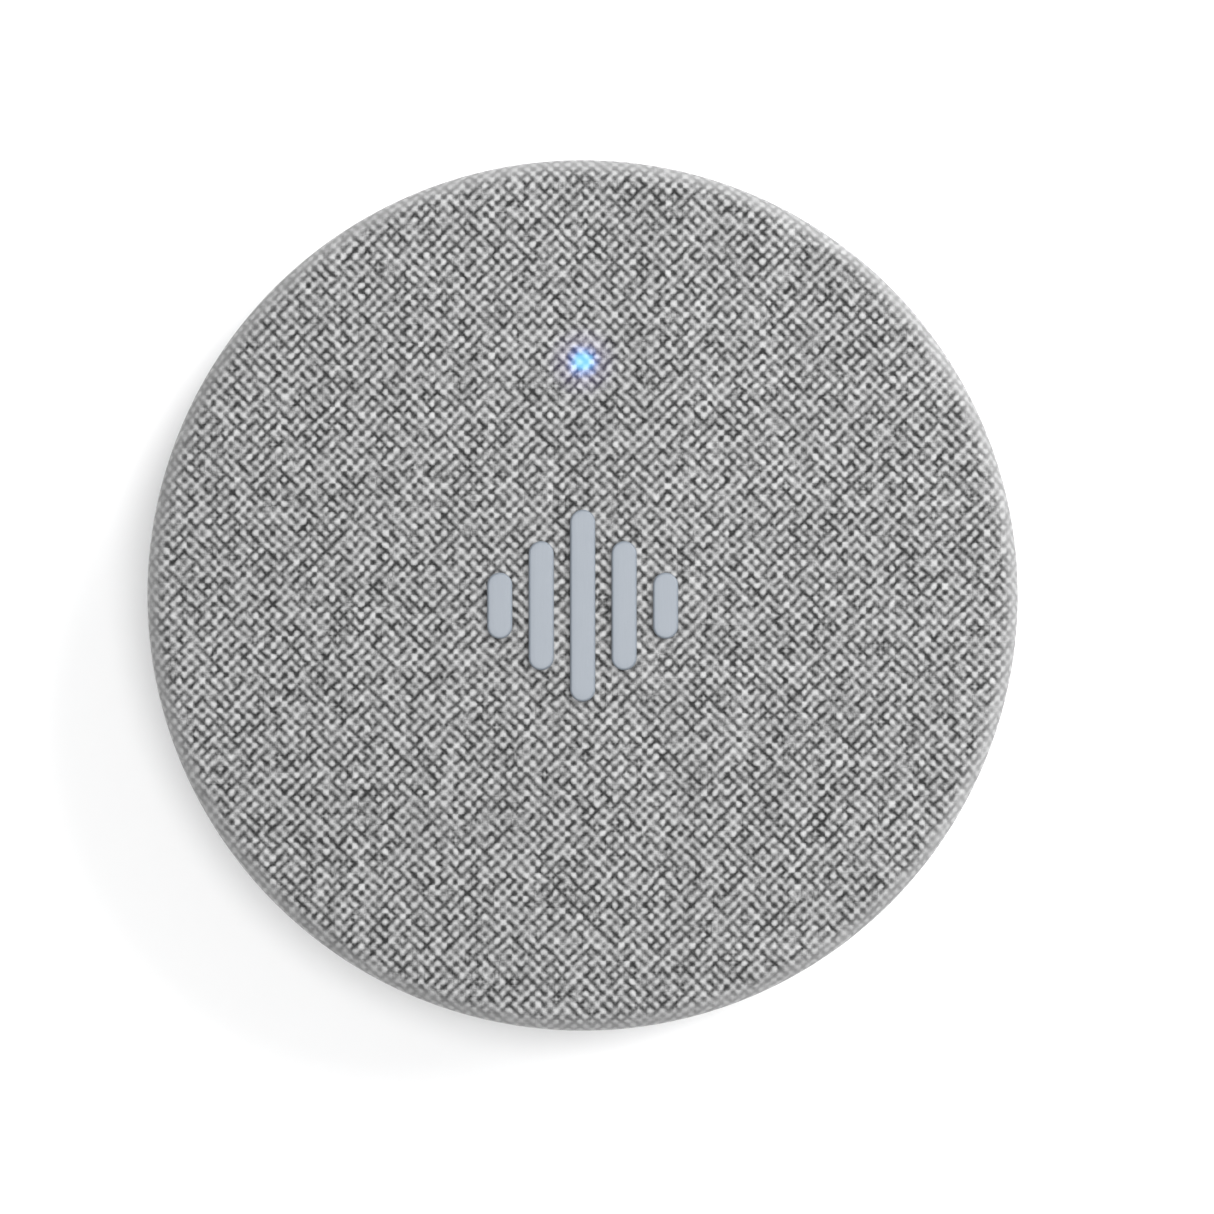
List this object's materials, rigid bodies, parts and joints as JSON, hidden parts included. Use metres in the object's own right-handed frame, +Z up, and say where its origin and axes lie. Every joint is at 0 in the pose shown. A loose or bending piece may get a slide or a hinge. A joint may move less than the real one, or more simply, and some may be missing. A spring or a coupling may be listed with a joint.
{
  "type": "bluetooth audio receiver",
  "caption": "Round fabric-topped puck that receives wireless audio, with a status light under the cloth and its ports, button and shutter in a bay at the back.",
  "frame": {"origin": "on the table, under the middle of the round puck", "axes": "+Z up through the round top, +Y to the back where the ports are, +X to the right seen from the front"},
  "size_m": [0.1, 0.1, 0.0316],
  "materials": {
    "woven_fabric": "light grey melange plain weave",
    "emblem_film": "satin blue-grey raised film",
    "case_plastic": "fine spark-eroded texture",
    "port_plastic": "smooth satin black",
    "button_plastic": "smooth satin",
    "foot_rubber": "matt silicone",
    "label_film": "satin film, blank",
    "circuit_board": "green solder mask",
    "ballast_steel": "zinc plated sheet",
    "spring_steel": "bright drawn",
    "screw_steel": "black zinc plated",
    "plated_steel": "nickel plated, pressed",
    "gold_contact": "gold flash",
    "tinned_metal": "tinned sheet",
    "emitter_lens": "clear red lens",
    "led_body": "white package with clear resin",
    "clear_plastic": "clear moulded acrylic",
    "chip_black": "moulded epoxy",
    "ferrite": "pressed iron powder",
    "ceramic": "fired ceramic",
    "capacitor_can": "satin can"
  },
  "bodies": {
    "housing": {"fabric_cover": "woven_fabric", "emblem": "emblem_film", "top_cap": "case_plastic", "base_shell": "case_plastic", "port_panel": "port_plastic", "rubber_foot": "foot_rubber", "base_label": "label_film", "main_board": "circuit_board", "ballast_plate": "ballast_steel", "ballast_clips": "spring_steel", "case_screws": "screw_steel", "usb_shell": "plated_steel", "usb_housing": "port_plastic", "usb_tongue": "port_plastic", "usb_contacts": "gold_contact", "jack_body": "port_plastic", "jack_sleeve": "plated_steel", "jack_tabs": "tinned_metal", "optical_housing": "port_plastic", "optical_emitter": "emitter_lens", "shutter_pin": "spring_steel", "shutter_spring": "spring_steel", "pair_switch": "chip_black", "status_led": "led_body", "light_pipe": "clear_plastic", "light_sleeve": "foot_rubber", "wireless_board": "circuit_board", "wireless_chip": "chip_black", "audio_converter": "chip_black", "audio_processor": "chip_black", "memory_chip": "chip_black", "clock_crystal": "tinned_metal", "power_inductor": "ferrite", "power_regulator": "chip_black", "wireless_shield": "tinned_metal", "chip_passives": "ceramic", "filter_capacitors": "capacitor_can", "antenna": "tinned_metal"},
    "pair_button": {"pair_button_cap": "button_plastic", "switch_plunger": "button_plastic"},
    "optical_shutter": {"optical_shutter": "port_plastic"}
  },
  "joints": [
    {"name": "pair_button_press", "type": "slide", "parent": "housing", "child": "pair_button", "axis": [0, -1, 0], "range_m": [0, 0.0004], "stiffness_N_per_m": 300, "springref_m": -0.002},
    {"name": "optical_shutter_swing", "type": "hinge", "parent": "housing", "child": "optical_shutter", "pos_m": [-0.008, 0.0384, 0.01215], "axis": [-1, 0, 0], "range_deg": [0, 85], "stiffness_Nm_per_rad": 0.0002, "springref_deg": -28.65}
  ]
}
